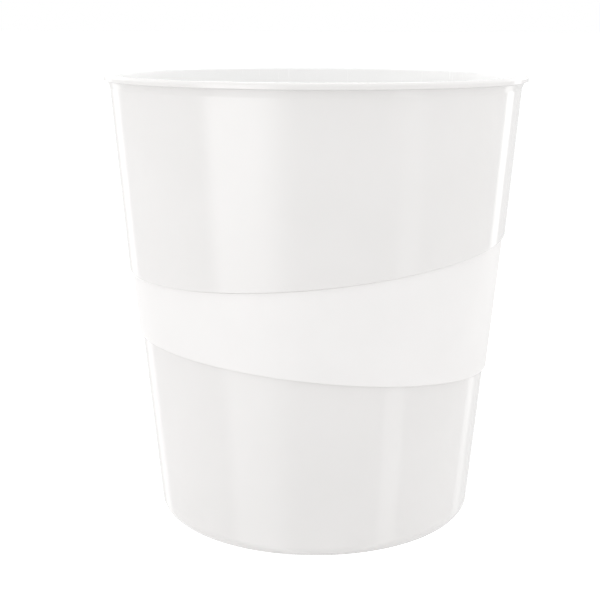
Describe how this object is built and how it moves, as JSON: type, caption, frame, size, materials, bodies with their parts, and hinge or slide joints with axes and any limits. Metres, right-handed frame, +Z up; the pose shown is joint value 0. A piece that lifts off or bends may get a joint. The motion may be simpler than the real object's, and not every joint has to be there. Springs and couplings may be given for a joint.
{
  "type": "wastebasket",
  "caption": "Round tapered open-top office wastebasket with a flared lip, stepped walls and a satin band with oblique, wave-like edges around its waist.",
  "frame": {"origin": "centre of the foot ring, in the plane that the bin stands on", "axes": "+Z up along the bin's own axis, -Y towards the front, +X to the right seen from the front; the band is deepest 23 degrees from +X towards +Y"},
  "size_m": [0.29, 0.29, 0.31],
  "materials": {
    "gloss_shell": "high-gloss white moulding",
    "satin_band": "fine satin white moulding"
  },
  "bodies": {
    "root": {"bin_body": "gloss_shell", "wave_band": "satin_band"}
  },
  "joints": []
}
